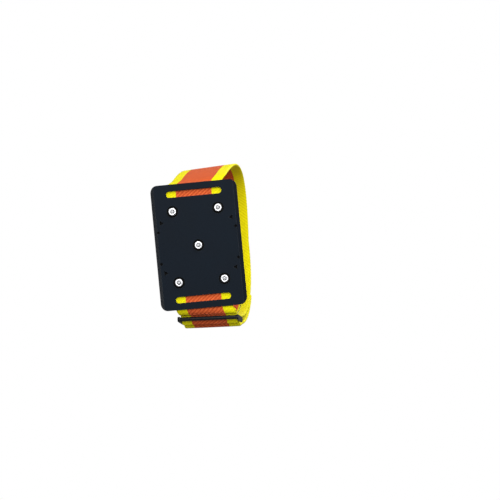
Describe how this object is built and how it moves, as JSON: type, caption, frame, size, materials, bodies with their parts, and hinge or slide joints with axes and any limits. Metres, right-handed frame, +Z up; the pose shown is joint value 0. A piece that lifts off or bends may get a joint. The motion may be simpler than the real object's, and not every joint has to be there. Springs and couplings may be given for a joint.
{
  "type": "mid-sole ice cleat",
  "caption": "Rubber plate with carbide-tipped studs, strapped under the waist of a boot by a two-colour woven strap with a slide and a hook-and-loop tail.",
  "frame": {"origin": "centre of the middle stud's tip, on the ground that the five tips stand on", "axes": "+Z up out of the plate's boot face, +X along the boot towards the toe, +Y across the boot towards the slide"},
  "size_m": [0.064, 0.1122, 0.1041],
  "materials": {
    "rubber": "matte moulded rubber",
    "stud_metal": "turned, bright",
    "carbide": "sintered, dull grey",
    "webbing": "woven webbing, orange with yellow edges",
    "slide_plastic": "moulded, glossy black",
    "hook_tape": "hook tape, black",
    "loop_tape": "loop pile tape, black"
  },
  "bodies": {
    "cleat": {"plate": "rubber", "stud_1": "stud_metal", "stud_2": "stud_metal", "stud_3": "stud_metal", "stud_4": "stud_metal", "stud_5": "stud_metal", "carbide_pin_1": "carbide", "carbide_pin_2": "carbide", "carbide_pin_3": "carbide", "carbide_pin_4": "carbide", "carbide_pin_5": "carbide", "strap_sole_run": "webbing", "strap_free_side": "webbing", "strap_instep": "webbing", "strap_buckle_side": "webbing", "strap_anchor_loop": "webbing", "loop_tape": "loop_tape"},
    "slide": {"slide_buckle": "slide_plastic"},
    "tail": {"strap_tail": "webbing", "hook_tape": "hook_tape"}
  },
  "joints": [
    {"name": "slide_tilt", "type": "hinge", "parent": "cleat", "child": "slide", "pos_m": [0.00266, 0.05081, 0.01747], "axis": [0.9893, 0.0432, -0.1392], "range_deg": [-6, 6]},
    {"name": "tail_peel", "type": "hinge", "parent": "cleat", "child": "tail", "pos_m": [0.00342, 0.05633, 0.02456], "axis": [-0.9893, -0.0432, 0.1392], "range_deg": [0, 100]}
  ]
}
